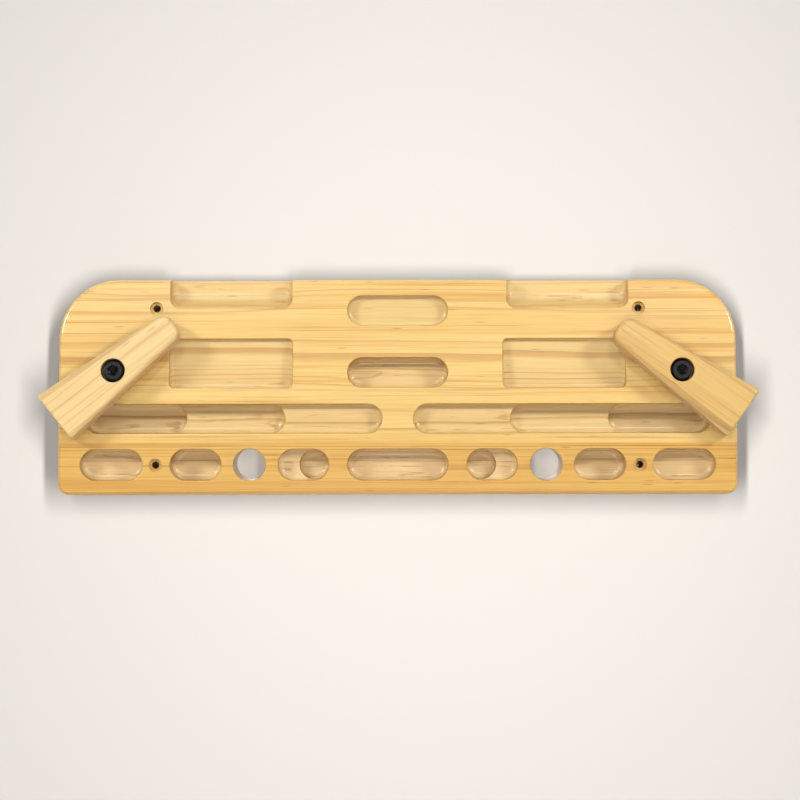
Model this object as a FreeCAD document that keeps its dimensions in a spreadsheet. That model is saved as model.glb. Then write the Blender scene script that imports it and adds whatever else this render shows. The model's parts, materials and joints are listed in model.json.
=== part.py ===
"""A climber's finger board for a wall: a milled pine board with two tapered pinch arms on M12 bolts.

X runs along the board, -Y points out of the wall and +Z up. The wall is the plane Y = 0, and the origin
is on it, at the centre of the four wall-screw holes. The board is drawn with its lower edge at Z = 0 and
every finished piece is then let down by origin_height, so heights in the sheet are above the lower edge.
"""

import FreeCAD
import Part
import math
import os
import Sketcher

SIZES = (
    # board blank
    ("board_width", 640.0),
    ("board_height", 203.0),
    ("board_depth", 58.0),
    ("ridge_height", 48.7),
    ("face_tilt", 7.0),
    ("top_corner", 55.0),
    ("bottom_corner", 11.0),
    ("edge_round", 3.5),
    ("mouth_round", 1.2),
    ("origin_height", 102.0),
    ("cutter_spare", 10.0),
    # glue lines between the staves
    ("slot_stave_top", 89.0),
    ("middle_stave_top", 153.0),
    # wall-screw holes
    ("screw_reach", 228.2),
    ("screw_low_height", 28.0),
    ("screw_high_height", 176.0),
    ("screw_hole", 7.0),
    ("screw_sink", 12.4),
    ("screw_sink_depth", 4.0),
    # rows of pockets: height of the row's middle, and how tall its pockets are
    ("low_row_height", 28.2),
    ("low_row_tall", 29.6),
    ("slot_row_height", 71.5),
    ("slot_row_tall", 27.8),
    ("panel_row_height", 123.8),
    ("panel_row_tall", 46.6),
    ("grip_row_height", 115.0),
    ("grip_row_tall", 28.4),
    ("crimp_row_height", 173.8),
    ("crimp_row_tall", 28.4),
    # each pocket: inner end and outer end from the board's middle, and depth
    ("end_pocket_inner", 240.3),
    ("end_pocket_outer", 299.3),
    ("end_pocket_depth", 20.0),
    ("three_pocket_inner", 166.2),
    ("three_pocket_outer", 214.8),
    ("three_pocket_depth", 27.0),
    ("two_pocket_inner", 64.9),
    ("two_pocket_outer", 112.9),
    ("two_pocket_depth", 14.0),
    ("mono_inner", 64.9),
    ("mono_outer", 93.1),
    ("mono_depth", 25.0),
    ("middle_pocket_reach", 47.5),
    ("middle_pocket_depth", 21.0),
    ("slot_outer", 295.5),
    ("shallow_slot_inner", 14.6),
    ("shallow_slot_depth", 13.0),
    ("half_slot_inner", 106.3),
    ("half_slot_depth", 22.0),
    ("deep_slot_inner", 200.0),
    ("deep_slot_depth", 34.0),
    ("panel_inner", 99.3),
    ("panel_outer", 215.9),
    ("panel_depth", 10.0),
    ("panel_corner", 5.0),
    ("grip_pocket_depth", 22.0),
    ("crimp_pocket_depth", 10.0),
    ("hole_reach", 139.8),
    ("hole_width", 30.4),
    ("cove", 6.0),
    ("shallow_cove", 4.0),
    # scoops in the top edge
    ("scoop_inner", 99.5),
    ("scoop_outer", 215.5),
    ("right_scoop_shift", 3.4),
    ("scoop_lip_height", 176.5),
    ("scoop_ledge_rise", 9.0),
    ("scoop_cove", 9.0),
    ("scoop_floor", 19.0),
    ("scoop_soft_lip", 6.0),
    ("scoop_end_cove", 8.0),
    ("scoop_skirt", 16.0),
    ("scoop_skirt_out", 2.0),
    # arms
    ("arm_reach", 265.7),
    ("pivot_height", 113.8),
    ("left_arm_angle", 38.6),
    ("right_arm_angle", 144.9),
    ("arm_thick", 26.0),
    ("arm_wide_end", 70.0),
    ("arm_narrow_end", 72.0),
    ("arm_wide", 52.6),
    ("arm_narrow", 26.4),
    ("arm_narrow_corner", 11.0),
    ("arm_round", 5.0),
    ("arm_bevel_width", 7.5),
    ("arm_bevel_depth", 7.5),
    ("arm_bevel_fade", 0.3),
    ("arm_bevel_spare", 0.2),
    ("arm_cut_spare", 2.0),
    ("arm_end_round", 2.0),
    ("arm_sink_round", 0.6),
    ("arm_bore", 12.16),
    ("arm_sink", 22.6),
    ("arm_sink_depth", 16.5),
    # hardware
    ("bolt_width", 12.0),
    ("bolt_length", 60.0),
    ("bolt_head", 18.0),
    ("bolt_head_tall", 12.0),
    ("bolt_round", 1.0),
    ("hex_width", 10.0),
    ("hex_depth", 6.0),
    ("washer_hole", 13.0),
    ("washer_width", 20.0),
    ("washer_thick", 2.0),
    ("spacer_width", 38.0),
    ("spacer_thick", 1.5),
    ("running_gap", 0.1),
    ("board_bore", 13.0),
    ("nut_bore", 12.1),
    ("nut_barrel", 15.0),
    ("nut_barrel_long", 16.0),
    ("nut_flange", 29.0),
    ("nut_flange_thick", 2.0),
    ("nut_seat", 46.0),
    ("nut_sink", 30.0),
    ("prong_reach", 11.6),
    ("prong_wide", 3.4),
    ("prong_tip", 0.6),
    ("prong_thick", 1.4),
    ("prong_long", 8.0),
)

TOLERANCE = 1e-4
EDGE_SAMPLES = 7
PRONGS = 4
SCREWS = ("low", "high")

doc = FreeCAD.newDocument("finger_board")


def fill_sheet():
    """Write every driving size into the spreadsheet under its alias."""
    sheet = doc.addObject("Spreadsheet::Sheet", "sizes")
    for row, (alias, value) in enumerate(SIZES, start=1):
        sheet.set(f"A{row}", alias)
        sheet.set(f"B{row}", str(value))
        sheet.setAlias(f"B{row}", alias)
    doc.recompute()
    return sheet


sheet = fill_sheet()


def number(formula):
    """The present value of a formula of the sheet's cells, in millimetres or degrees."""
    return float(sheet.evalExpression(formula))


def bind(target, **formulas):
    """Bind properties of an object to formulas of the sheet's cells."""
    for name, formula in formulas.items():
        target.setExpression(name, formula)


# ---------------------------------------------------------------- sketch and feature helpers


def new_body(name):
    made = doc.addObject("PartDesign::Body", name)
    made.Label = name
    return made


def origin_feature(owner, role):
    """One of the body's own origin planes or axes."""
    return [feature for feature in owner.Origin.OriginFeatures if feature.Role == role][0]


def new_sketch(owner, name, plane, lift=None):
    """A sketch on one of the body's own origin planes, lifted off it by a formula."""
    sketch = owner.newObject("Sketcher::SketchObject", name)
    sketch.AttachmentSupport = [(origin_feature(owner, plane), "")]
    sketch.MapMode = "FlatFace"
    if lift:
        sketch.setExpression("AttachmentOffset.Base.z", lift)
    return sketch


def dimension(sketch, kind, geometry, point, formula):
    """Dimension a point of the sketch from the sketch's origin by a formula."""
    made = sketch.addConstraint(Sketcher.Constraint(kind, -1, 1, geometry, point, number(formula)))
    sketch.setExpression(f"Constraints[{made}]", formula)


def polygon(sketch, corners):
    """A closed polygon whose corners are pairs of formulas, each dimensioned from the origin."""
    places = [FreeCAD.Vector(number(across), number(up), 0) for across, up in corners]
    count = len(corners)
    for index in range(count):
        sketch.addGeometry(Part.LineSegment(places[index], places[(index + 1) % count]), False)
    for index in range(count):
        sketch.addConstraint(Sketcher.Constraint("Coincident", index, 2, (index + 1) % count, 1))
    for index, (across, up) in enumerate(corners):
        dimension(sketch, "DistanceX", index, 1, across)
        dimension(sketch, "DistanceY", index, 1, up)


def rectangle(sketch, left, right, low, high):
    polygon(sketch, ((left, low), (right, low), (right, high), (left, high)))


def circle(sketch, across, up, width):
    """A circle of a given width about a point."""
    centre = FreeCAD.Vector(number(across), number(up), 0)
    sketch.addGeometry(Part.Circle(centre, FreeCAD.Vector(0, 0, 1), number(width) / 2), False)
    made = sketch.addConstraint(Sketcher.Constraint("Diameter", 0, number(width)))
    sketch.setExpression(f"Constraints[{made}]", width)
    dimension(sketch, "DistanceX", 0, 3, across)
    dimension(sketch, "DistanceY", 0, 3, up)


def slot(sketch, left, right, height, tall):
    """A round-ended slot from left to right, about a line at the given height."""
    first, last = number(left), number(right)
    middle, radius = number(height), number(tall) / 2
    up = FreeCAD.Vector(0, 0, 1)
    near = FreeCAD.Vector(first + radius, middle, 0)
    far = FreeCAD.Vector(last - radius, middle, 0)
    rise = FreeCAD.Vector(0, radius, 0)
    sketch.addGeometry(Part.LineSegment(near + rise, far + rise), False)
    sketch.addGeometry(Part.ArcOfCircle(Part.Circle(far, up, radius), -math.pi / 2, math.pi / 2), False)
    sketch.addGeometry(Part.LineSegment(far - rise, near - rise), False)
    sketch.addGeometry(Part.ArcOfCircle(Part.Circle(near, up, radius), math.pi / 2, 3 * math.pi / 2), False)
    for line, line_end, arc, arc_end in ((0, 2, 1, 2), (2, 1, 1, 1), (2, 2, 3, 2), (0, 1, 3, 1)):
        sketch.addConstraint(Sketcher.Constraint("Tangent", line, line_end, arc, arc_end))
    sketch.addConstraint(Sketcher.Constraint("Horizontal", 0))
    sketch.addConstraint(Sketcher.Constraint("Equal", 1, 3))
    made = sketch.addConstraint(Sketcher.Constraint("Radius", 1, radius))
    sketch.setExpression(f"Constraints[{made}]", f"{tall} / 2")
    dimension(sketch, "DistanceX", 1, 3, f"{right} - {tall} / 2")
    dimension(sketch, "DistanceY", 1, 3, height)
    dimension(sketch, "DistanceX", 3, 3, f"{left} + {tall} / 2")


def pad(owner, sketch, length, both_ways=False):
    made = owner.newObject("PartDesign::Pad", "Pad")
    made.Profile = sketch
    made.Midplane = both_ways
    bind(made, Length=length)
    doc.recompute()
    return made


def pocket(owner, sketch, length):
    """Cut a sketch's outline down from its plane, and make sure that it removes something."""
    before = owner.Shape.Volume
    made = owner.newObject("PartDesign::Pocket", "Pocket")
    made.Profile = sketch
    bind(made, Length=length)
    doc.recompute()
    if made.Shape.Volume > before - 1:
        raise RuntimeError(f"{sketch.Name} cuts nothing")
    return made


def edges_where(shape, holds):
    """Names of the edges all of whose points meet a condition."""
    names = []
    for index, edge in enumerate(shape.Edges, start=1):
        if all(holds(point) for point in edge.discretize(EDGE_SAMPLES)):
            names.append(f"Edge{index}")
    return names


def round_edges(owner, name, base, names, radius):
    if not names:
        raise RuntimeError(f"{owner.Name} has no edges for {name}")
    made = owner.newObject("PartDesign::Fillet", name)
    made.Base = (base, names)
    bind(made, Radius=radius)
    doc.recompute()
    return made


def near(value, target):
    return abs(value - target) < TOLERANCE


# ---------------------------------------------------------------- the board and its staves


def face_depth(height):
    """Formula of how far the leaning upper face stands off the wall at a height."""
    return f"sizes.board_depth - ({height} - sizes.ridge_height) * tan(sizes.face_tilt)"


def make_blank():
    """The board before any pocket: a side profile with its leaning face, padded along the board."""
    made = new_body("board_blank")
    sketch = new_sketch(made, "blank_profile", "YZ_Plane")
    top_depth = face_depth("sizes.board_height")
    corners = (
        ("0", "0"),
        ("-sizes.board_depth", "0"),
        ("-sizes.board_depth", "sizes.ridge_height"),
        (f"-({top_depth})", "sizes.board_height"),
        ("0", "sizes.board_height"),
    )
    polygon(sketch, corners)
    solid = pad(made, sketch, "sizes.board_width", both_ways=True)
    side, high = number("sizes.board_width / 2"), number("sizes.board_height")
    top = edges_where(solid.Shape, lambda p: near(abs(p.x), side) and near(p.z, high))
    solid = round_edges(made, "top_corners", solid, top, "sizes.top_corner")
    low = edges_where(solid.Shape, lambda p: near(abs(p.x), side) and near(p.z, 0))
    round_edges(made, "bottom_corners", solid, low, "sizes.bottom_corner")
    return made


def cutter(name, draw, floor, cove, corner=None):
    """What a router removes: an outline cut from the front down to a floor, with a coved floor edge.

    floor is a formula of the floor's distance from the wall, and corner rounds the outline's corners.
    """
    made = new_body(name)
    sketch = new_sketch(made, f"{name}_outline", "XZ_Plane", floor)
    draw(sketch)
    solid = pad(made, sketch, "sizes.board_depth + sizes.cutter_spare")
    if corner:
        upright = [
            f"Edge{index}"
            for index, edge in enumerate(solid.Shape.Edges, start=1)
            if not near(edge.Vertexes[0].Y, edge.Vertexes[-1].Y)
        ]
        solid = round_edges(made, "corners", solid, upright, corner)
    level = -number(floor)
    rim = edges_where(solid.Shape, lambda p: near(p.y, level))
    round_edges(made, "cove", solid, rim, cove)
    return made


def slot_cutter(name, row, inner=None, outer=None, cove="sizes.cove"):
    """A round-ended pocket of a row; its ends and its depth at the row's middle are in the sheet."""
    left = inner or f"sizes.{name}_inner"
    right = outer or f"sizes.{name}_outer"
    height = f"sizes.{row}_row_height"
    front = "sizes.board_depth" if row == "low" else face_depth(height)
    return cutter(
        name,
        lambda sketch: slot(sketch, left, right, height, f"sizes.{row}_row_tall"),
        f"{front} - sizes.{name}_depth",
        cove,
    )


def mono_cutter():
    """The deeper round finger hole inside the two-finger pocket."""
    across = "(sizes.mono_inner + sizes.mono_outer) / 2"
    width = "sizes.mono_outer - sizes.mono_inner"
    return cutter(
        "mono",
        lambda sketch: circle(sketch, across, "sizes.low_row_height", width),
        "sizes.board_depth - sizes.mono_depth",
        "sizes.cove",
    )


def panel_cutter():
    """The shallow square-cornered panel for a whole hand."""
    low = "sizes.panel_row_height - sizes.panel_row_tall / 2"
    high = "sizes.panel_row_height + sizes.panel_row_tall / 2"
    return cutter(
        "panel",
        lambda sketch: rectangle(sketch, "sizes.panel_inner", "sizes.panel_outer", low, high),
        f"{face_depth('sizes.panel_row_height')} - sizes.panel_depth",
        "sizes.shallow_cove",
        "sizes.panel_corner",
    )


def scoop_cutter(name, start):
    """An open scoop in the top edge: upright floor, cove, sloping ledge and a soft lip.

    start is a formula of the scoop's left end along the board.
    """
    made = new_body(name)
    sketch = new_sketch(made, f"{name}_profile", "YZ_Plane", start)
    lip_depth = face_depth("sizes.scoop_lip_height")
    skirt_height = "sizes.scoop_lip_height - sizes.scoop_skirt"
    above = "sizes.board_height + sizes.cutter_spare"
    before = "-sizes.board_depth - sizes.cutter_spare"
    corners = (
        ("-sizes.scoop_floor", above),
        (before, above),
        (before, skirt_height),
        (f"-({face_depth(skirt_height)} + sizes.scoop_skirt_out)", skirt_height),
        (f"-({lip_depth})", "sizes.scoop_lip_height"),
        ("-sizes.scoop_floor", "sizes.scoop_lip_height + sizes.scoop_ledge_rise"),
    )
    polygon(sketch, corners)
    length = "sizes.scoop_outer - sizes.scoop_inner"
    solid = pad(made, sketch, length)
    floor, lip = -number("sizes.scoop_floor"), number("sizes.scoop_lip_height")
    ledge_end = lip + number("sizes.scoop_ledge_rise")
    bend = edges_where(solid.Shape, lambda p: near(p.y, floor) and near(p.z, ledge_end))
    solid = round_edges(made, "ledge_cove", solid, bend, "sizes.scoop_cove")
    edge = edges_where(solid.Shape, lambda p: near(p.y, -number(lip_depth)) and near(p.z, lip))
    solid = round_edges(made, "soft_lip", solid, edge, "sizes.scoop_soft_lip")
    left, right = number(start), number(f"{start} + {length}")
    wall = edges_where(solid.Shape, lambda p: near(p.y, floor) and (near(p.x, left) or near(p.x, right)))
    round_edges(made, "end_coves", solid, wall, "sizes.scoop_end_cove")
    return made


def turned_cylinder(name, radius, height, placement):
    """A plain round cutter along local Z."""
    made = doc.addObject("Part::Cylinder", name)
    bind(made, Radius=radius, Height=height)
    made.Placement = placement
    return made


def level_hole(name, across, height, width, reach, start="0"):
    """A round cutter square to the wall, from a distance off the wall outwards."""
    turn = FreeCAD.Rotation(FreeCAD.Vector(1, 0, 0), 90)
    place = FreeCAD.Vector(number(across), -number(start), number(height))
    return turned_cylinder(name, f"{width} / 2", reach, FreeCAD.Placement(place, turn))


def on_face(across, lift=0.0, spin=0.0):
    """Where a piece sits on the leaning face at a pivot: local Z points out of the face."""
    tilt = math.radians(number("sizes.face_tilt"))
    outward = FreeCAD.Vector(0, -math.cos(tilt), math.sin(tilt))
    foot = FreeCAD.Vector(across, -number(face_depth("sizes.pivot_height")), number("sizes.pivot_height"))
    lean = FreeCAD.Rotation(FreeCAD.Vector(1, 0, 0), 90 - number("sizes.face_tilt"))
    turn = FreeCAD.Rotation(FreeCAD.Vector(0, 0, 1), spin)
    return FreeCAD.Placement(foot + outward * lift, lean * turn)


def pivot_cutters():
    """The bolt's bore and the tee nut's seat, square to the leaning face."""
    across, spare = number("sizes.arm_reach"), number("sizes.cutter_spare")
    depth, seat = number("sizes.board_depth"), number("sizes.nut_seat")
    barrel_end = number("sizes.nut_barrel_long") - seat
    through = "sizes.board_depth + 2 * sizes.cutter_spare"
    barrel = "sizes.nut_barrel / 2 + sizes.running_gap"
    bores = (
        ("bolt_bore", "sizes.board_bore / 2", through, -depth - spare),
        ("barrel_bore", barrel, "sizes.board_depth", barrel_end - depth),
        ("flange_seat", "sizes.nut_sink / 2", "sizes.cutter_spare", -seat - spare),
    )
    return [turned_cylinder(name, radius, long, on_face(across, foot)) for name, radius, long, foot in bores]


def screw_cutters():
    """The sunk wall-screw holes of one side."""
    made = []
    through = "sizes.board_depth + sizes.cutter_spare"
    sink = "sizes.screw_sink_depth + sizes.cutter_spare"
    for name in SCREWS:
        height = f"sizes.screw_{name}_height"
        front = "sizes.board_depth" if name == "low" else face_depth(height)
        seat = f"{front} - sizes.screw_sink_depth"
        made.append(level_hole(f"screw_{name}", "sizes.screw_reach", height, "sizes.screw_hole", through))
        made.append(level_hole(f"sink_{name}", "sizes.screw_reach", height, "sizes.screw_sink", sink, seat))
    return made


def joined(name, shapes):
    made = doc.addObject("Part::MultiFuse", name)
    made.Shapes = shapes
    return made


def make_cutters():
    """Everything that is routed or drilled out of the board, as one tool."""
    through = "sizes.board_depth + sizes.cutter_spare"
    right_hand = [slot_cutter(name, "low") for name in ("end_pocket", "three_pocket", "two_pocket")]
    for name in ("shallow_slot", "half_slot", "deep_slot"):
        right_hand.append(slot_cutter(name, "slot", outer="sizes.slot_outer"))
    right_hand += [
        mono_cutter(),
        level_hole("through_hole", "sizes.hole_reach", "sizes.low_row_height", "sizes.hole_width", through),
        panel_cutter(),
    ]
    right_hand += screw_cutters() + pivot_cutters()
    right = joined("right_cutters", right_hand)
    left = doc.addObject("Part::Mirroring", "left_cutters")
    left.Source = right
    left.Normal = FreeCAD.Vector(1, 0, 0)
    reach = "sizes.middle_pocket_reach"
    middle = [
        slot_cutter("middle_pocket", "low", f"-{reach}", reach),
        slot_cutter("grip_pocket", "grip", f"-{reach}", reach),
        slot_cutter("crimp_pocket", "crimp", f"-{reach}", reach, "sizes.shallow_cove"),
        scoop_cutter("left_scoop", "-sizes.scoop_outer"),
        scoop_cutter("right_scoop", "sizes.scoop_inner + sizes.right_scoop_shift"),
    ]
    return joined("all_cutters", [right, left] + middle)


def based_body(name, base):
    """A body that goes on from another object's shape."""
    made = new_body(name)
    made.BaseFeature = base
    doc.recompute()
    return made, made.Group[0]


def front_face(shape):
    """The stave's flat front face, upright or leaning."""

    def faces_out(face):
        return face.Surface.TypeId == "Part::GeomPlane" and face.normalAt(0, 0).y < -0.9

    return max(filter(faces_out, shape.Faces), key=lambda face: face.Area)


def names_of(shape, edges):
    """Names that a shape gives to some of its edges."""
    numbered = enumerate(shape.Edges, start=1)
    return [f"Edge{index}" for index, edge in numbered if any(edge.isSame(one) for one in edges)]


def outline_edges(shape):
    """The front face's outer edges, without the glue lines where it meets the next stave."""
    glue = [number(f"sizes.{name}") for name in ("ridge_height", "slot_stave_top", "middle_stave_top")]

    def on_glue_line(edge):
        ends = edge.BoundBox
        return any(near(ends.ZMin, height) and near(ends.ZMax, height) for height in glue)

    outer = front_face(shape).OuterWire.Edges
    return names_of(shape, [edge for edge in outer if not on_glue_line(edge)])


def mouth_edges(shape):
    """The edges of the finger pockets in the front face, without the small screw holes."""
    face = front_face(shape)
    mouths = [wire for wire in face.Wires if not wire.isSame(face.OuterWire)]
    least = 1.5 * number("sizes.screw_sink")
    wide = [wire for wire in mouths if wire.BoundBox.XLength > least]
    return names_of(shape, [edge for wire in wide for edge in wire.Edges])


def make_stave(name, blank, cutters, low, high):
    """One stave of the glued board: cut from the blank, edges rounded, then routed."""
    slab = doc.addObject("Part::Box", f"{name}_slab")
    bind(
        slab,
        Length="sizes.board_width + 2 * sizes.cutter_spare",
        Width="sizes.board_depth + 2 * sizes.cutter_spare",
        Height=f"{high} - {low}",
    )
    slab.setExpression("Placement.Base.x", "-sizes.board_width / 2 - sizes.cutter_spare")
    slab.setExpression("Placement.Base.y", "-sizes.board_depth - sizes.cutter_spare")
    slab.setExpression("Placement.Base.z", low)
    plank = doc.addObject("Part::Common", f"{name}_plank")
    plank.Base = blank
    plank.Tool = slab
    doc.recompute()
    rounded, base = based_body(f"{name}_rounded", plank)
    outline = outline_edges(base.Shape)
    round_edges(rounded, "edge_round", base, outline, "sizes.edge_round")
    routed = doc.addObject("Part::Cut", f"{name}_routed")
    routed.Base = rounded
    routed.Tool = cutters
    doc.recompute()
    stave, base = based_body(name, routed)
    round_edges(stave, "mouth_round", base, mouth_edges(base.Shape), "sizes.mouth_round")
    return stave


# ---------------------------------------------------------------- the pinch arms


def arm_lift():
    return "(sizes.spacer_thick + sizes.running_gap)"


def make_arm(name):
    """A tapered arm in its own frame: X from the wide end to the narrow end, Z out of its front."""
    made = new_body(name)
    sketch = new_sketch(made, f"{name}_outline", "XY_Plane", arm_lift())
    corners = (
        ("-sizes.arm_wide_end", "-sizes.arm_wide / 2"),
        ("sizes.arm_narrow_end", "-sizes.arm_narrow / 2"),
        ("sizes.arm_narrow_end", "sizes.arm_narrow / 2"),
        ("-sizes.arm_wide_end", "sizes.arm_wide / 2"),
    )
    polygon(sketch, corners)
    solid = pad(made, sketch, "sizes.arm_thick")
    wide_x, narrow_x = -number("sizes.arm_wide_end"), number("sizes.arm_narrow_end")
    back, front = number(arm_lift()), number(f"{arm_lift()} + sizes.arm_thick")
    tip_side = number("sizes.arm_narrow / 2")
    tip = edges_where(solid.Shape, lambda p: near(p.x, narrow_x) and near(abs(p.y), tip_side))
    solid = round_edges(made, "narrow_corners", solid, tip, "sizes.arm_narrow_corner")
    end = edges_where(solid.Shape, lambda p: near(p.x, wide_x))
    long_rim = []
    for level in (back, front):
        rim = edges_where(solid.Shape, lambda p: near(p.z, level))
        long_rim += [edge for edge in rim if edge not in end]
    solid = round_edges(made, "long_round", solid, long_rim, "sizes.arm_round")
    end = edges_where(solid.Shape, lambda p: near(p.x, wide_x))
    round_edges(made, "wide_end_round", solid, end, "sizes.arm_end_round")
    cut_bevel(made, name)
    face = f"{arm_lift()} + sizes.arm_thick"
    bore = new_sketch(made, f"{name}_bore", "XY_Plane", face)
    circle(bore, "0", "0", "sizes.arm_bore")
    pocket(made, bore, "sizes.arm_thick + sizes.arm_cut_spare")
    sink = new_sketch(made, f"{name}_sink", "XY_Plane", face)
    circle(sink, "0", "0", "sizes.arm_sink")
    solid = pocket(made, sink, "sizes.arm_sink_depth")
    sink_radius = number("sizes.arm_sink / 2")
    mouth = edges_where(solid.Shape, lambda p: near(p.z, front) and near(math.hypot(p.x, p.y), sink_radius))
    round_edges(made, "sink_round", solid, mouth, "sizes.arm_sink_round")
    return made


def half_width(along):
    """Formula of half the tapered arm's width at a distance along it from the bolt."""
    taper = "(sizes.arm_wide - sizes.arm_narrow) / (2 * (sizes.arm_wide_end + sizes.arm_narrow_end))"
    return f"(sizes.arm_wide / 2 - ({along} + sizes.arm_wide_end) * {taper})"


def cut_bevel(made, name):
    """The facet along one long side: widest at the wide end and fading towards the narrow end."""
    front = f"({arm_lift()} + sizes.arm_thick)"
    sections = []
    for tag, along, scale in (
        ("wide", "-sizes.arm_wide_end - sizes.arm_cut_spare", "1"),
        ("narrow", "sizes.arm_narrow_end + sizes.arm_cut_spare", "sizes.arm_bevel_fade"),
    ):
        side = half_width(along)
        width, depth = f"{scale} * sizes.arm_bevel_width", f"{scale} * sizes.arm_bevel_depth"
        reach = f"{side} + sizes.arm_bevel_spare * {width}"
        rise = f"{front} + sizes.arm_bevel_spare * {depth}"
        inset = f"{side} - (1 + sizes.arm_bevel_spare) * {width}"
        foot = f"{front} - (1 + sizes.arm_bevel_spare) * {depth}"
        sketch = new_sketch(made, f"{name}_bevel_{tag}", "YZ_Plane", along)
        polygon(sketch, ((reach, foot), (reach, rise), (inset, rise)))
        sections.append(sketch)
    before = made.Shape.Volume
    loft = made.newObject("PartDesign::SubtractiveLoft", "bevel")
    loft.Profile = sections[0]
    loft.Sections = [sections[1]]
    loft.Ruled = True
    doc.recompute()
    if loft.Shape.Volume > before - 1:
        raise RuntimeError("the bevel cuts nothing")


# ---------------------------------------------------------------- bolts, washers, spacers and tee nuts


def disc(owner, kind, name, radius, height, level="0"):
    """A PartDesign cylinder on the bolt's axis, added or cut, from a level outwards."""
    made = owner.newObject(f"PartDesign::{kind}Cylinder", name)
    bind(made, Radius=radius, Height=height)
    made.setExpression("Placement.Base.z", level)
    doc.recompute()
    return made


def head_level():
    """Height of the bolt head's underside above the leaning face."""
    seat = f"{arm_lift()} + sizes.arm_thick - sizes.arm_sink_depth"
    return f"({seat} + sizes.running_gap + sizes.washer_thick)"


def make_bolt(name):
    """An M12 socket-head cap screw, its thread drawn as a plain shank."""
    made = new_body(name)
    shank_end = f"{head_level()} - sizes.bolt_length"
    disc(made, "Additive", "shank", "sizes.bolt_width / 2", "sizes.bolt_length", shank_end)
    solid = disc(made, "Additive", "head", "sizes.bolt_head / 2", "sizes.bolt_head_tall", head_level())
    top = number(f"{head_level()} + sizes.bolt_head_tall")
    end = number(shank_end)
    rim = edges_where(solid.Shape, lambda p: near(p.z, top) or near(p.z, end))
    solid = round_edges(made, "edge_round", solid, rim, "sizes.bolt_round")
    socket = made.newObject("PartDesign::SubtractivePrism", "socket")
    socket.Polygon = 6
    bind(socket, Circumradius="sizes.hex_width / sqrt(3)", Height="sizes.hex_depth + sizes.bolt_round")
    socket.setExpression("Placement.Base.z", f"{head_level()} + sizes.bolt_head_tall - sizes.hex_depth")
    doc.recompute()
    drill = made.newObject("PartDesign::SubtractiveCone", "drill_point")
    bind(drill, Radius1="0", Radius2="sizes.hex_width / 2", Height="sizes.hex_width / 4")
    cone_foot = f"{head_level()} + sizes.bolt_head_tall - sizes.hex_depth - sizes.hex_width / 4"
    drill.setExpression("Placement.Base.z", cone_foot)
    doc.recompute()
    return made


def make_ring(name, width, hole, thick, level):
    """A flat washer on the bolt's axis."""
    made = new_body(name)
    disc(made, "Additive", "disc", f"{width} / 2", thick, level)
    disc(made, "Subtractive", "hole", f"{hole} / 2", thick, level)
    return made


def make_tee_nut(name):
    """A pronged tee nut: flange at the back, barrel towards the front."""
    made = new_body(name)
    flange_foot = "-sizes.nut_seat - sizes.nut_flange_thick"
    disc(made, "Additive", "flange", "sizes.nut_flange / 2", "sizes.nut_flange_thick", flange_foot)
    disc(made, "Additive", "barrel", "sizes.nut_barrel / 2", "sizes.nut_barrel_long", "-sizes.nut_seat")
    prong = made.newObject("PartDesign::AdditiveWedge", "prong")
    bind(
        prong,
        Xmin="-sizes.prong_wide / 2",
        Xmax="sizes.prong_wide / 2",
        X2min="-sizes.prong_tip / 2",
        X2max="sizes.prong_tip / 2",
        Zmin="0",
        Zmax="sizes.prong_thick",
        Z2min="0",
        Z2max="sizes.prong_thick",
        Ymin="0",
        Ymax="sizes.prong_long",
    )
    prong.Placement.Rotation = FreeCAD.Rotation(FreeCAD.Vector(1, 0, 0), 90)
    prong.setExpression("Placement.Base.y", "sizes.prong_reach")
    prong.setExpression("Placement.Base.z", "-sizes.nut_seat")
    doc.recompute()
    ring = made.newObject("PartDesign::PolarPattern", "prongs")
    ring.Originals = [prong]
    ring.Axis = (origin_feature(made, "Z_Axis"), [""])
    ring.Angle = 360
    ring.Occurrences = PRONGS
    made.Tip = ring
    doc.recompute()
    disc(made, "Subtractive", "thread", "sizes.nut_bore / 2", "sizes.nut_seat", flange_foot)
    return made


# ---------------------------------------------------------------- the whole object


def lower(placement):
    """Let a placement down from the board's lower edge to the frame's origin."""
    drop = FreeCAD.Vector(0, 0, -number("sizes.origin_height"))
    return FreeCAD.Placement(drop, FreeCAD.Rotation()) * placement


def make_pivot(side, across, spin):
    """One arm with its bolt, washer, spacer and tee nut, all on the bolt's axis."""
    hole, washer, spacer = "sizes.washer_hole", "sizes.washer_thick", "sizes.spacer_thick"
    washer_level = f"{head_level()} - {washer}"
    pieces = [
        make_arm(f"{side}_arm"),
        make_bolt(f"{side}_bolt"),
        make_ring(f"{side}_head_washer", "sizes.washer_width", hole, washer, washer_level),
        make_ring(f"{side}_spacer", "sizes.spacer_width", hole, spacer, "0"),
        make_tee_nut(f"{side}_tee_nut"),
    ]
    for piece in pieces:
        piece.Placement = lower(on_face(across, spin=spin))
    return pieces


def make_board():
    blank, cutters = make_blank(), make_cutters()
    doc.recompute()
    top = "sizes.board_height"
    staves = (
        ("stave_low", "0", "sizes.ridge_height"),
        ("stave_slots", "sizes.ridge_height", "sizes.slot_stave_top"),
        ("stave_middle", "sizes.slot_stave_top", "sizes.middle_stave_top"),
        ("stave_top", "sizes.middle_stave_top", top),
    )
    made = [make_stave(name, blank, cutters, low, high) for name, low, high in staves]
    for stave in made:
        stave.Placement = lower(FreeCAD.Placement())
    return made


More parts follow.
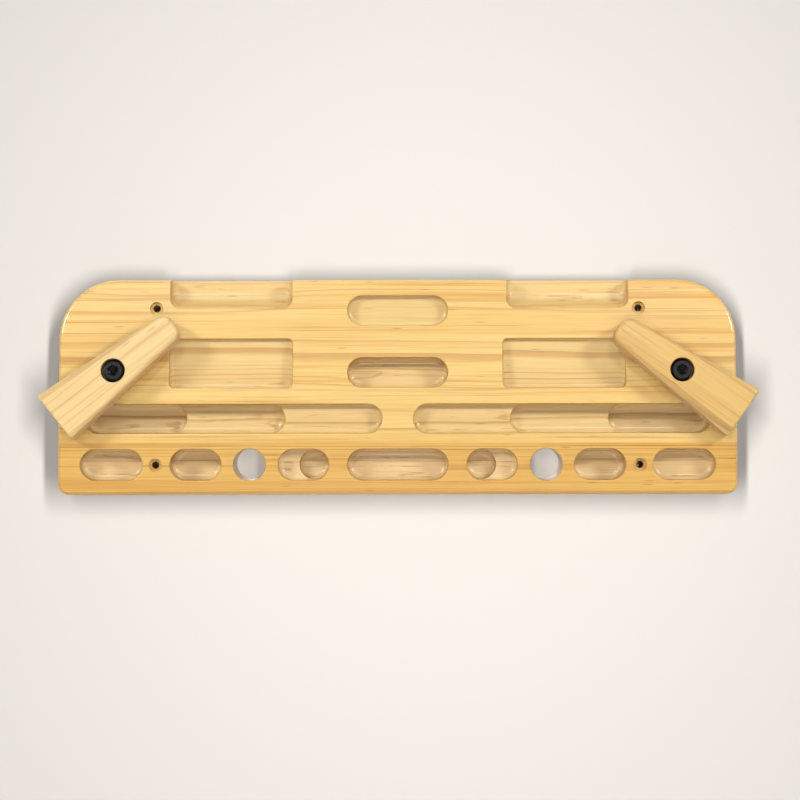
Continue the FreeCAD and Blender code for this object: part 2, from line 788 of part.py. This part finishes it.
def check_and_export(pieces):
    """Stop on any failed feature or bad shape, then write one STEP file per piece."""
    doc.recompute()
    failed = [item.Label for item in doc.Objects if {"Invalid", "Error"} & set(item.State)]
    for piece in pieces:
        shape = piece.Shape
        if shape.isNull() or not shape.isValid() or len(shape.Solids) != 1:
            failed.append(piece.Label)
    if failed:
        raise RuntimeError(f"failed: {failed}")
    os.makedirs("parts", exist_ok=True)
    for piece in pieces:
        piece.Shape.exportStep(f"parts/{piece.Label}.step")
        print(f"{piece.Label}: {piece.Shape.Volume / 1000:.1f} cm3")


reach = number("sizes.arm_reach")
everything = make_board()
everything += make_pivot("left", -reach, number("sizes.left_arm_angle"))
everything += make_pivot("right", reach, number("sizes.right_arm_angle"))
check_and_export(everything)
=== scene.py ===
"""A climber's finger board on a pale wall.

It has four pine staves and two pine pinch arms that turn on black bolts, with their washers, spacers and tee
nuts. Everything is in metres: X runs along the board, -Y points out of the wall and +Z up.
"""

import json
import math

import bpy
from mathutils import Matrix, Vector


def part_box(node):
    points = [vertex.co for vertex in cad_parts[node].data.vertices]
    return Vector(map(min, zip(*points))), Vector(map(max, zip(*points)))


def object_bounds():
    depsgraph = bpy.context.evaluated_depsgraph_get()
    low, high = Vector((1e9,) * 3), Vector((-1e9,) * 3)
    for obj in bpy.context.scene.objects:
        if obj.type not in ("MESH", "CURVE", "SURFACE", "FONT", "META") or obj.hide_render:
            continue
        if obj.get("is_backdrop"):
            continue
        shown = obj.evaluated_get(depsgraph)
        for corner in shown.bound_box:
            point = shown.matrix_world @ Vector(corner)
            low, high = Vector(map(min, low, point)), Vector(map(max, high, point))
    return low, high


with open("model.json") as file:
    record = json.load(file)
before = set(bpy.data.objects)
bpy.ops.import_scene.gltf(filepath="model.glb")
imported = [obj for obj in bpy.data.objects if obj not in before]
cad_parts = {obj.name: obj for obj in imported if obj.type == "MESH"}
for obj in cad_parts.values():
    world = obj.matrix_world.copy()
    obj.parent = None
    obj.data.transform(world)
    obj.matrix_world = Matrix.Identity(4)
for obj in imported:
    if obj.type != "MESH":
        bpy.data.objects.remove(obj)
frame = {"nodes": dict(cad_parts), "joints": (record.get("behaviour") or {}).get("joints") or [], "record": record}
cad_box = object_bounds()

JOINTS = {joint["name"]: joint for joint in frame["joints"]}
OPENINGS = {opening["name"]: opening["box_m"] for opening in frame["record"]["physics"]["openings"]}

# the board's front below the ridge, the ridge's height, and how far the face above it leans back, in degrees
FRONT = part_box("stave_low")[0].y
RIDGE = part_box("stave_low")[1].z
LEAN = 7.0

# each arm's turn at rest, from +X to its narrow end in degrees, and its front's distance from the board
ARM_ANGLES = {"left": 38.6, "right": 144.9}
ARM_FACE = 0.0276


# ---------------------------------------------------------------- node helpers


class Tree:
    """A material's node tree, with one short method for each kind of node."""

    def __init__(self, name, seed=0.0):
        self.offset = (seed, 2.3 * seed, 5.1 * seed)
        self.material = bpy.data.materials.new(name)
        self.material.use_nodes = True
        self.nodes = self.material.node_tree.nodes
        self.links = self.material.node_tree.links
        self.shader = self.nodes["Principled BSDF"]

    def feed(self, socket, value):
        """Link an output to a socket, or set a plain value on it."""
        if isinstance(value, bpy.types.NodeSocket):
            self.links.new(value, socket)
        else:
            socket.default_value = value

    def set_shader(self, **values):
        """Set plain values on the shader's sockets, named with _ for each space."""
        for name, value in values.items():
            self.shader.inputs[name.replace("_", " ")].default_value = value

    def math(self, operation, first, second=0.0):
        """A math node of one or two values."""
        node = self.nodes.new("ShaderNodeMath")
        node.operation = operation
        for socket, value in zip(node.inputs, (first, second)):
            self.feed(socket, value)
        return node.outputs[0]

    def product(self, first, *others):
        """Values multiplied together."""
        for other in others:
            first = self.math("MULTIPLY", first, other)
        return first

    def scaled(self, vector, scale):
        """A vector times a number for each axis, moved on by the material's own offset."""
        node = self.nodes.new("ShaderNodeVectorMath")
        node.operation = "MULTIPLY_ADD"
        self.feed(node.inputs[0], vector)
        node.inputs[1].default_value = scale
        node.inputs[2].default_value = self.offset
        return node.outputs[0]

    def smooth(self, value, low, high, start=0.0, end=1.0):
        """A smooth step from start to end, as a value goes from low to high."""
        node = self.nodes.new("ShaderNodeMapRange")
        node.interpolation_type = "SMOOTHSTEP"
        for socket, given in zip(node.inputs, (value, low, high, start, end)):
            self.feed(socket, given)
        return node.outputs[0]

    def below(self, depth, band, share):
        """A share that rises from none to its full value over a band of depths below the face."""
        shallow, deep = band
        return self.smooth(depth, -deep, -shallow, share, 0.0)

    def noise(self, vector, scale=1.0, detail=2.0, rough=0.5):
        """Noise about 0.5 at a vector in the units of its scale."""
        node = self.nodes.new("ShaderNodeTexNoise")
        self.feed(node.inputs["Vector"], vector)
        node.inputs["Scale"].default_value = scale
        node.inputs["Detail"].default_value = detail
        node.inputs["Roughness"].default_value = rough
        return node.outputs["Fac"]

    def line_noise(self, value, scale):
        """Noise along one number."""
        node = self.nodes.new("ShaderNodeTexNoise")
        node.noise_dimensions = "1D"
        self.feed(node.inputs["W"], value)
        node.inputs["Scale"].default_value = scale
        node.inputs["Detail"].default_value = 1.0
        return node.outputs["Fac"]

    def chance(self, value):
        """A random number for each whole number."""
        node = self.nodes.new("ShaderNodeTexWhiteNoise")
        node.noise_dimensions = "1D"
        self.feed(node.inputs["W"], value)
        return node.outputs["Value"]

    def cells(self, vector):
        """Voronoi cells: the distance to each cell's middle, and its random colour."""
        node = self.nodes.new("ShaderNodeTexVoronoi")
        self.feed(node.inputs["Vector"], vector)
        node.inputs["Scale"].default_value = 1.0
        return node.outputs["Distance"], node.outputs["Color"]

    def mix(self, share, first, second, blend="MIX"):
        """Two colours mixed by a share."""
        node = self.nodes.new("ShaderNodeMix")
        node.data_type = "RGBA"
        node.blend_type = blend
        self.feed(node.inputs["Factor"], share)
        for socket, colour in zip(node.inputs[6:8], (first, second)):
            self.feed(socket, colour if isinstance(colour, bpy.types.NodeSocket) else (*colour, 1))
        return node.outputs[2]

    def grey(self, value):
        """A grey colour of a value."""
        node = self.nodes.new("ShaderNodeCombineColor")
        for socket in node.inputs:
            self.feed(socket, value)
        return node.outputs[0]

    def object_place(self):
        """The surface point in the object's own frame."""
        return self.nodes.new("ShaderNodeTexCoord").outputs["Object"]

    def grain_place(self, matrix):
        """The surface point in a grain frame: X along the grain, Y across the face, Z out of it."""
        node = self.nodes.new("ShaderNodeMapping")
        node.vector_type = "TEXTURE"
        self.feed(node.inputs["Vector"], self.object_place())
        node.inputs["Location"].default_value = matrix.translation
        node.inputs["Rotation"].default_value = matrix.to_euler("XYZ")
        return node.outputs[0]

    def split(self, vector):
        """The three numbers of a vector or colour."""
        node = self.nodes.new("ShaderNodeSeparateXYZ")
        self.feed(node.inputs[0], vector)
        return node.outputs

    def facing(self, direction):
        """The cosine of the angle between the surface's normal and a direction."""
        node = self.nodes.new("ShaderNodeVectorMath")
        node.operation = "DOT_PRODUCT"
        self.feed(node.inputs[0], self.nodes.new("ShaderNodeNewGeometry").outputs["Normal"])
        node.inputs[1].default_value = direction
        return node.outputs["Value"]

    def bump(self, height, distance):
        """Raise the shader's surface by a height times a distance in metres."""
        node = self.nodes.new("ShaderNodeBump")
        node.inputs["Distance"].default_value = distance
        self.feed(node.inputs["Height"], height)
        self.feed(self.shader.inputs["Normal"], node.outputs[0])


def paint(node, material):
    """Put one material on all of a CAD node."""
    for slot in frame["nodes"][node].material_slots:
        slot.material = material


# ---------------------------------------------------------------- pine

# features per metre along the grain, across the face and out of it
RING_DRIFT = (3.2, 14, 14)
BROAD_STREAKS = (1.1, 40, 40)
NARROW_STREAKS = (1.7, 150, 150)
HAIR_LINES = (5, 520, 520)
FIBRES = (30, 1100, 1100)
FLECKS = (38, 420, 420)
WAVY_LINES = (4, 62, 62)
LINE_BREAKS = (60, 60, 60)
PORES = (700, 1400, 1400)

# depths below the face, in metres, over which the look of a routed floor comes in; the deepest band brings painted
# light
FLOOR_BAND = (0.003, 0.008)
LINES_BAND = (0.0115, 0.0125)
DEEP_LIGHT_BAND = (0.018, 0.029)

# growth rings: where late wood rises and falls, as shares of a ring, and how rare heavy rings are
LATE_RISE = (0.55, 0.95)
LATE_FALL = (0.955, 1.0)
HEAVY_RING_POWER = 1.6
# how far rings wander from true circles, in ring widths and in metres on top of that
WANDER_RINGS = 1.3
WANDER_MORE = 0.004
# how often rings crowd together, as a share of their number, and by how many rings the count then changes
CROWDING_RATE = 0.45
CROWDING = 2.6

GRAIN_BUMP = 0.00008
LACQUER = {"Coat_Weight": 0.55, "Coat_Roughness": 0.2, "Specular_IOR_Level": 0.3}

# early wood, warm streaks, late wood and the paler wood of the routed floors
PALE = (0.645, 0.465, 0.20)
UPPER = ((0.64, 0.44, 0.148), (0.57, 0.31, 0.064), (0.40, 0.18, 0.04), PALE)
SLOTS = ((0.64, 0.435, 0.145), (0.57, 0.315, 0.068), (0.38, 0.18, 0.04), PALE)
LOW = ((0.585, 0.35, 0.085), (0.515, 0.265, 0.05), (0.33, 0.14, 0.025), (0.70, 0.52, 0.27))
LEFT_ARM = ((0.64, 0.46, 0.205), (0.57, 0.36, 0.125), (0.45, 0.25, 0.075), (0.62, 0.45, 0.21))
RIGHT_ARM = ((0.56, 0.355, 0.115), (0.46, 0.25, 0.055), (0.36, 0.175, 0.04), (0.58, 0.39, 0.17))
# sawn and routed walls: darker for their open pores, and also painted shade where walls turn from the front
CUT_AND_SHADE = (0.42, 0.24, 0.10)
# painted light: a brighter, paler colour for the deepest floors, in place of the light that reaches them
DEEP_PAINTED_LIGHT = (0.84, 0.64, 0.32)


def ring_drift(tree, place, ring):
    """How far the growth rings wander from true circles, in metres."""
    wander = tree.noise(tree.scaled(place, RING_DRIFT), detail=3)
    return tree.product(tree.math("SUBTRACT", wander, 0.5), WANDER_RINGS * ring + WANDER_MORE)


def late_wood(tree, place, pith, ring, drift, strength, seed):
    """The share of late wood: growth rings about the pith line, each of its own random weight."""
    _, across, out = tree.split(place)
    side = tree.math("SUBTRACT", across, pith[0])
    back = tree.math("SUBTRACT", out, pith[1])
    square = tree.math("ADD", tree.product(side, side), tree.product(back, back))
    radius = tree.math("ADD", tree.math("SQRT", square), drift)
    crowding = tree.product(tree.line_noise(radius, CROWDING_RATE / ring), CROWDING)
    count = tree.math("ADD", tree.math("DIVIDE", radius, ring), crowding)
    count = tree.math("ADD", count, seed)
    share = tree.math("FRACT", count)
    weight = tree.chance(tree.math("FLOOR", count))
    rise = tree.smooth(share, *LATE_RISE)
    fall = tree.smooth(share, *LATE_FALL, 1.0, 0.0)
    return tree.product(rise, fall, tree.math("POWER", weight, HEAVY_RING_POWER), strength)


def streaks(tree, place, light, warm, late):
    """Early wood with broad and narrow warm streaks and thin darker hair lines."""
    broad = tree.smooth(tree.noise(tree.scaled(place, BROAD_STREAKS), detail=3), 0.42, 0.66)
    narrow = tree.smooth(tree.noise(tree.scaled(place, NARROW_STREAKS), detail=3, rough=0.6), 0.5, 0.68)
    hair = tree.smooth(tree.noise(tree.scaled(place, HAIR_LINES)), 0.56, 0.74)
    warmth = tree.math("ADD", tree.product(broad, 0.35), tree.product(narrow, 0.85))
    base = tree.mix(tree.math("MINIMUM", warmth, 1.0), light, warm)
    return tree.mix(tree.product(hair, 0.55), base, late)


def flecks(tree, place, base, late):
    """Resin canals: a few short thin dashes along the grain."""
    distance, colour = tree.cells(tree.scaled(place, FLECKS))
    chosen = tree.smooth(tree.split(colour)[0], 0.92, 0.94)
    dash = tree.smooth(distance, 0.08, 0.3, 1.0, 0.0)
    return tree.mix(tree.product(dash, chosen, 0.6), base, tuple(0.7 * c for c in late))


def floor_lines(tree, place, depth, base, late):
    """Thin wavy lines on the deeper floors, where the cutter has crossed the growth rings at a low angle."""
    level = tree.noise(tree.scaled(place, WAVY_LINES))
    near = tree.math("ABSOLUTE", tree.math("SUBTRACT", level, 0.5))
    line = tree.smooth(near, 0.003, 0.016, 1.0, 0.0)
    broken = tree.smooth(tree.noise(tree.scaled(place, LINE_BREAKS)), 0.42, 0.58)
    return tree.mix(tree.product(line, broken, tree.below(depth, LINES_BAND, 0.45)), base, late)


def cut_faces_and_painted_shade(tree, place, matrix, base, late, edge):
    """Sawn and routed walls that turn away from the front: open pores make them speckled, and they are darker,
    partly for the pores and partly as painted shade on the walls and edges of the pockets.

    edge is the cosine of the turn at which the darker look has faded out.
    """
    turn = tree.facing(matrix.to_3x3() @ Vector((0, 0, 1)))
    share = tree.smooth(turn, 0.1, edge, 1.0, 0.0)
    pores = tree.smooth(tree.noise(tree.scaled(place, PORES)), 0.35, 0.7, 0.45, 0.8)
    dark = tuple(0.5 * (c + d) for c, d in zip(late, CUT_AND_SHADE))
    return tree.mix(tree.product(share, pores), base, dark)


def pine(name, matrix, pith, ring, colours, strength, seed, cut_shade_edge=0.62):
    """Lacquered pine with growth rings about a pith line that runs along the grain.

    pith is the line's place across and behind the face, and ring the usual ring width, in metres. strength is the
    rings' contrast, and the last argument the cosine at which the darker walls, with their painted shade, have
    faded out.
    """
    light, warm, late, floor = colours
    tree = Tree(name, seed)
    place = tree.grain_place(matrix)
    drift = ring_drift(tree, place, ring)
    late_share = late_wood(tree, place, pith, ring, drift, strength, seed)
    fibre = tree.noise(tree.scaled(place, FIBRES))
    depth = tree.math("ADD", tree.split(place)[2], tree.product(drift, 0.2))
    base = streaks(tree, place, light, warm, late)
    base = tree.mix(tree.below(depth, FLOOR_BAND, 0.8), base, floor)
    # painted light on the deepest floors: a brighter colour below the deepest band
    base = tree.mix(tree.below(depth, DEEP_LIGHT_BAND, 0.9), base, DEEP_PAINTED_LIGHT)
    base = tree.mix(late_share, base, late)
    base = tree.mix(1.0, base, tree.grey(tree.smooth(fibre, 0.3, 0.7, 0.95, 1.04)), "MULTIPLY")
    base = flecks(tree, place, base, late)
    base = floor_lines(tree, place, depth, base, late)
    # darker walls turned from the front: open pores and painted shade
    base = cut_faces_and_painted_shade(tree, place, matrix, base, late, cut_shade_edge)
    tree.feed(tree.shader.inputs["Base Color"], base)
    tree.feed(tree.shader.inputs["Roughness"], tree.smooth(fibre, 0.2, 0.8, 0.48, 0.6))
    tree.set_shader(**LACQUER)
    height = tree.math("SUBTRACT", tree.product(fibre, 0.5), tree.product(late_share, 0.4))
    tree.bump(height, GRAIN_BUMP)
    return tree.material


def face_frame(lean):
    """A grain frame on the board's front at the ridge, leaning back by an angle in degrees."""
    return Matrix.Translation((0, FRONT, RIDGE)) @ Matrix.Rotation(math.radians(90 - lean), 4, "X")


def arm_frame(side):
    """The arm's own frame on its front: X runs from the wide end to the narrow one, Z out of its front."""
    joint = JOINTS[f"{side}_arm_turn"]
    pivot, out = Vector(joint["pos_m"]), Vector(joint["axis"]).normalized()
    level = Vector((1, 0, 0))
    turn = math.radians(ARM_ANGLES[side])
    along = level * math.cos(turn) + out.cross(level) * math.sin(turn)
    made = Matrix((along, out.cross(along), out)).transposed().to_4x4()
    made.translation = pivot + out * ARM_FACE
    return made


# CAD node, material, grain frame, pith, ring, colours, strength, seed and, for the arms, the edge where darker
# walls with painted shade fade out
for node, *wood in (
    ("stave_low", "pine_low", face_frame(0), (-0.30, -0.06), 0.0029, LOW, 1.0, 3.0),
    ("stave_slots", "pine_slots", face_frame(LEAN), (-0.20, -0.12), 0.0055, SLOTS, 0.65, 17.0),
    ("stave_middle", "pine_middle", face_frame(LEAN), (-0.12, -0.16), 0.0072, UPPER, 0.6, 41.0),
    ("stave_top", "pine_top", face_frame(LEAN), (-0.05, -0.18), 0.0078, UPPER, 0.55, 73.0),
    ("left_arm", "pine_left_arm", arm_frame("left"), (-0.07, -0.05), 0.0085, LEFT_ARM, 0.6, 97.0, 1.05),
    ("right_arm", "pine_right_arm", arm_frame("right"), (-0.07, -0.05), 0.0075, RIGHT_ARM, 0.8, 128.0, 0.9),
):
    paint(node, pine(*wood))


# ---------------------------------------------------------------- metal and fibre


def mottled(name, scale, rough, bump):
    """A finish whose roughness and surface have a fine mottle, and that mottle, for its colour."""
    tree = Tree(name)
    mottle = tree.noise(tree.object_place(), scale, 3)
    tree.feed(tree.shader.inputs["Roughness"], tree.smooth(mottle, 0.3, 0.7, *rough))
    tree.bump(mottle, bump)
    return tree, mottle


def black_oxide():
    """Blackened steel, for the bolts and head washers."""
    tree, mottle = mottled("black_oxide", 900, (0.3, 0.42), 0.00003)
    colour = tree.mix(tree.smooth(mottle, 0.3, 0.7), (0.005, 0.005, 0.0055), (0.012, 0.012, 0.013))
    tree.feed(tree.shader.inputs["Base Color"], colour)
    tree.set_shader(Specular_IOR_Level=0.2)
    return tree.material


def zinc_plate():
    """Bright zinc plate, for the tee nuts."""
    tree, mottle = mottled("zinc_plate", 700, (0.28, 0.42), 0.00003)
    tree.feed(tree.shader.inputs["Base Color"], tree.mix(mottle, (0.50, 0.50, 0.48), (0.68, 0.68, 0.66)))
    tree.set_shader(Metallic=1.0)
    return tree.material


def hard_fibre():
    """Hard vulcanised fibre, for the spacers."""
    tree, mottle = mottled("hard_fibre", 1500, (0.55, 0.7), 0.00005)
    tree.feed(tree.shader.inputs["Base Color"], tree.mix(mottle, (0.05, 0.02, 0.012), (0.11, 0.05, 0.03)))
    return tree.material


black, zinc, fibre = black_oxide(), zinc_plate(), hard_fibre()
for side in ARM_ANGLES:
    paint(f"{side}_bolt", black)
    paint(f"{side}_head_washer", black)
    paint(f"{side}_tee_nut", zinc)
    paint(f"{side}_spacer", fibre)


# ---------------------------------------------------------------- wall and floor

WALL_GAP = 0.0003
WALL_SIZE = 3.6
WALL_HEIGHT = 0.4
WALL_COLOUR = (0.15, 0.1425, 0.132)
FLOOR_SIZE = 8.0
FLOOR_LEVEL = -0.75
FLOOR_COLOUR = (0.75, 0.73, 0.70)


def matt_paint(name, colour):
    """Plain matt paint."""
    tree = Tree(name)
    tree.set_shader(Base_Color=(*colour, 1), Roughness=0.9, Specular_IOR_Level=0.1)
    return tree


def wall_paint():
    """Pale wall paint, seen from the front only, so that the board's back shows in views from behind."""
    tree = matt_paint("wall_paint", WALL_COLOUR)
    both = tree.nodes.new("ShaderNodeMixShader")
    tree.feed(both.inputs[0], tree.nodes.new("ShaderNodeNewGeometry").outputs["Backfacing"])
    tree.feed(both.inputs[1], tree.shader.outputs[0])
    tree.feed(both.inputs[2], tree.nodes.new("ShaderNodeBsdfTransparent").outputs[0])
    tree.feed(tree.nodes["Material Output"].inputs["Surface"], both.outputs[0])
    return tree


def flat_square(name, size, place, turn, tree):
    """A flat square of the stage, which throws no shadow."""
    half = size / 2
    corners = [(-half, -half, 0), (half, -half, 0), (half, half, 0), (-half, half, 0)]
    mesh = bpy.data.meshes.new(name)
    mesh.from_pydata(corners, [], [(0, 1, 2, 3)])
    mesh.materials.append(tree.material)
    made = bpy.data.objects.new(name, mesh)
    made.location = place
    made.rotation_euler = turn
    made.visible_shadow = False
    bpy.context.scene.collection.objects.link(made)
    made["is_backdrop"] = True
    return made


wall = flat_square("wall", WALL_SIZE, (0, WALL_GAP, WALL_HEIGHT), (math.radians(90), 0, 0), wall_paint())
flat_square("floor", FLOOR_SIZE, (0, 0, FLOOR_LEVEL), (0, 0, 0), matt_paint("floor_paint", FLOOR_COLOUR))


# ---------------------------------------------------------------- light

# lights that leave the wall out: azimuth from straight ahead towards +X and elevation, in degrees, distance,
# size and watts
WOOD_LIGHTS = (
    ("side_right", 47, 21, 1.9, (0.4, 0.2), 16.3),
    ("side_left", -47, 21, 1.9, (0.4, 0.2), 16.3),
    ("inner_right", 11, 24, 2.6, (0.3, 0.15), 10.8),
    ("inner_left", -11, 24, 2.6, (0.3, 0.15), 10.8),
    ("fill_right", 35, -22, 2.6, (1.2, 0.8), 4),
    ("fill_left", -35, -22, 2.6, (1.2, 0.8), 4),
    ("front_fill", 0, -12, 2.6, (0.5, 0.2), 8),
    ("top_box", 0, 60, 2.6, (2.0, 0.9), 17),
)
# upright strips that light only the wall: place, size and watts
WALL_LIGHTS = (
    ("strip_right", (0.844, -3.0, -0.08), (0.25, 2.65), 190),
    ("strip_left", (-0.631, -3.0, -0.08), (0.25, 2.65), 208),
    ("strip_near", (0.033, -0.95, 0.015), (0.06, 0.64), 24),
)
# the beam through each round hole that lights the wall behind it
HOLE_LIGHT_DISTANCE = 3.0
HOLE_BEAM = 0.024
HOLE_WATTS = 440
HOLE_COLOUR = (1.0, 0.92, 0.84)
# a light behind the board, for views from there: place, size and watts
BACK_LIGHT = ((-0.6, 2.0, 1.2), (1.2, 1.2), 45)
WORLD_COLOUR = (1.0, 0.97, 0.93, 1)
WORLD_STRENGTH = 0.05


def round_place(azimuth, elevation, distance):
    """A point round the object's origin."""
    side, rise = math.radians(azimuth), math.radians(elevation)
    level = distance * math.cos(rise)
    return (level * math.sin(side), -level * math.cos(side), distance * math.sin(rise))


def place_light(data, place, aim):
    """Put a light at a place and point it at another."""
    made = bpy.data.objects.new(data.name, data)
    made.location = place
    made.rotation_euler = (Vector(aim) - Vector(place)).to_track_quat("-Z", "Y").to_euler()
    bpy.context.scene.collection.objects.link(made)
    return made


def area_light(name, place, size, watts, aim):
    """A soft rectangular light."""
    data = bpy.data.lights.new(name, "AREA")
    data.shape = "RECTANGLE"
    data.size, data.size_y = size
    data.energy = watts
    return place_light(data, place, aim)


def hole_light(index, side):
    """A narrow beam that just covers one through hole."""
    low, high = OPENINGS[f"{side}_through_hole"]
    across, height = (low[0] + high[0]) / 2, (low[2] + high[2]) / 2
    data = bpy.data.lights.new(f"hole_light_{index}", "SPOT")
    data.spot_size = 2 * math.atan(HOLE_BEAM / HOLE_LIGHT_DISTANCE)
    data.spot_blend = 0.1
    data.shadow_soft_size = 0.005
    data.energy = HOLE_WATTS
    data.color = HOLE_COLOUR
    return place_light(data, (across, -HOLE_LIGHT_DISTANCE, height), (across, 0, height))


def link_to_wall(light, state):
    """Let a light reach only the wall, with INCLUDE, or everything but the wall, with EXCLUDE."""
    group = bpy.data.collections.new(f"{light.name}_reach")
    group.objects.link(wall)
    light.light_linking.receiver_collection = group
    group.collection_objects[0].light_linking.link_state = state


for name, azimuth, elevation, distance, size, watts in WOOD_LIGHTS:
    place = round_place(azimuth, elevation, distance)
    link_to_wall(area_light(name, place, size, watts, (0, 0, 0)), "EXCLUDE")
for name, place, size, watts in WALL_LIGHTS:
    link_to_wall(area_light(name, place, size, watts, (place[0], 0, place[2])), "INCLUDE")
for index, side in enumerate(ARM_ANGLES):
    link_to_wall(hole_light(index, side), "INCLUDE")
area_light("back_light", *BACK_LIGHT, (0, 0, 0))

world = bpy.data.worlds.new("studio")
world.use_nodes = True
world.node_tree.nodes["Background"].inputs["Color"].default_value = WORLD_COLOUR
world.node_tree.nodes["Background"].inputs["Strength"].default_value = WORLD_STRENGTH
bpy.context.scene.world = world
bpy.context.scene.view_settings.view_transform = "Standard"


# ---------------------------------------------------------------- camera

# distance from the board's front, place across and up, turn about the line of sight in degrees, and how wide
# a stretch of the plane of the board's front fills the picture
CAMERA_DISTANCE = 2.2
CAMERA_SIDE = 0.0022
CAMERA_HEIGHT = -0.013
CAMERA_ROLL = 0.1
VIEW_WIDTH = 0.7526

camera_data = bpy.data.cameras.new("camera")
camera_data.lens = camera_data.sensor_width * CAMERA_DISTANCE / VIEW_WIDTH
camera = bpy.data.objects.new("camera", camera_data)
camera.location = (CAMERA_SIDE, FRONT - CAMERA_DISTANCE, CAMERA_HEIGHT)
camera.rotation_euler = (math.radians(90), math.radians(CAMERA_ROLL), 0)
bpy.context.scene.collection.objects.link(camera)
bpy.context.scene.camera = camera

size = {"cad": [list(corner) for corner in cad_box], "visual": [list(corner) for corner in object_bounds()]}
